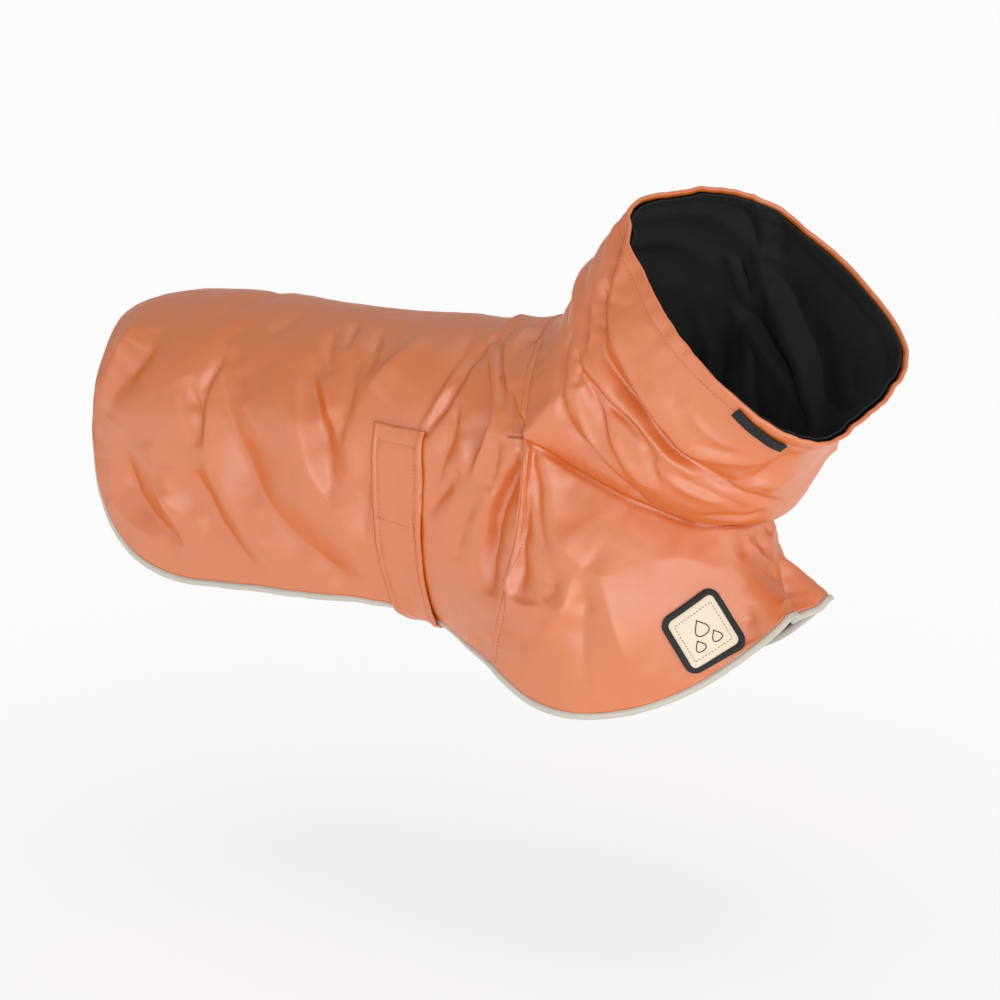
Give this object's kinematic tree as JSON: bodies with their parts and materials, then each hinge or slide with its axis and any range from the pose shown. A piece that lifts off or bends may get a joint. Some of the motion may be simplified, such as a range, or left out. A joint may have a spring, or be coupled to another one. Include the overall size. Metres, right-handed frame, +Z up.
{
  "type": "dog raincoat",
  "caption": "Sleeveless raincoat for a small dog, worn and hollow, with a snood collar lined in black, a belly strap and a piped hem.",
  "frame": {"origin": "on the inner face of the back, on the spine just behind the withers, where the wearer's back holds the coat", "axes": "+X along the body towards the neck, +Y to the coat's left side, +Z up"},
  "size_m": [0.5744, 0.2096, 0.3284],
  "materials": {
    "shell": "coral waterproof nylon, soft satin sheen",
    "lining": "matt black knit",
    "piping": "silver-beige reflective tape",
    "strap": "coral waterproof nylon, soft satin sheen",
    "patch": "cream twill",
    "patch_edge": "black overlocked thread",
    "tab": "matt black woven tape"
  },
  "bodies": {
    "root": {"back_panel": "shell", "chest_panel": "shell", "snood": "shell", "snood_lining": "lining", "hem_piping": "piping", "belly_strap": "strap", "patch_face": "patch", "patch_border": "patch_edge", "snood_tab": "tab"}
  },
  "joints": []
}
